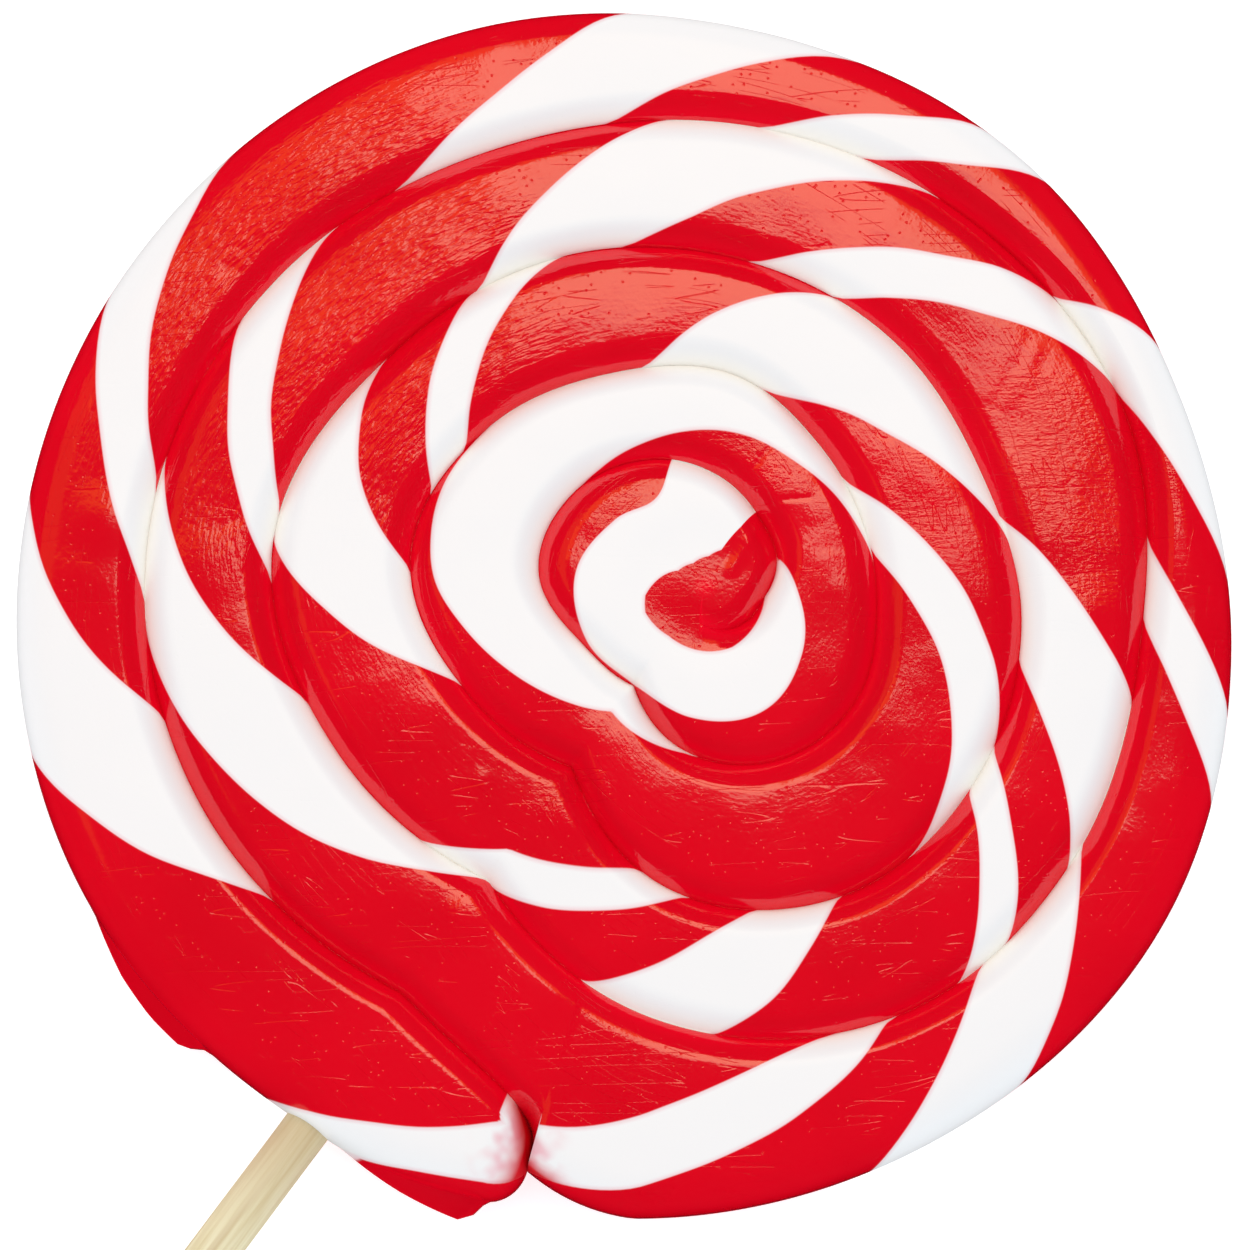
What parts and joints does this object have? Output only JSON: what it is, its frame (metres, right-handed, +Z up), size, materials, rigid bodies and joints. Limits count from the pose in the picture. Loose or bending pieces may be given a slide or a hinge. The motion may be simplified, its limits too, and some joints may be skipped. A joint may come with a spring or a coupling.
{
  "type": "swirl lollipop",
  "caption": "Large round lollipop: a red and white boiled sugar rope wound into a flat spiral, on a plain round wooden stick, lying flat.",
  "frame": {"origin": "centre of the spiral, on the flat spot of the underside", "axes": "+Z up, out of the shown face; the stick lies along -Y"},
  "size_m": [0.1277, 0.246, 0.0126],
  "materials": {
    "candy": "gloss",
    "stick": "matte"
  },
  "bodies": {
    "root": {"candy": "candy", "stick": "stick"}
  },
  "joints": []
}
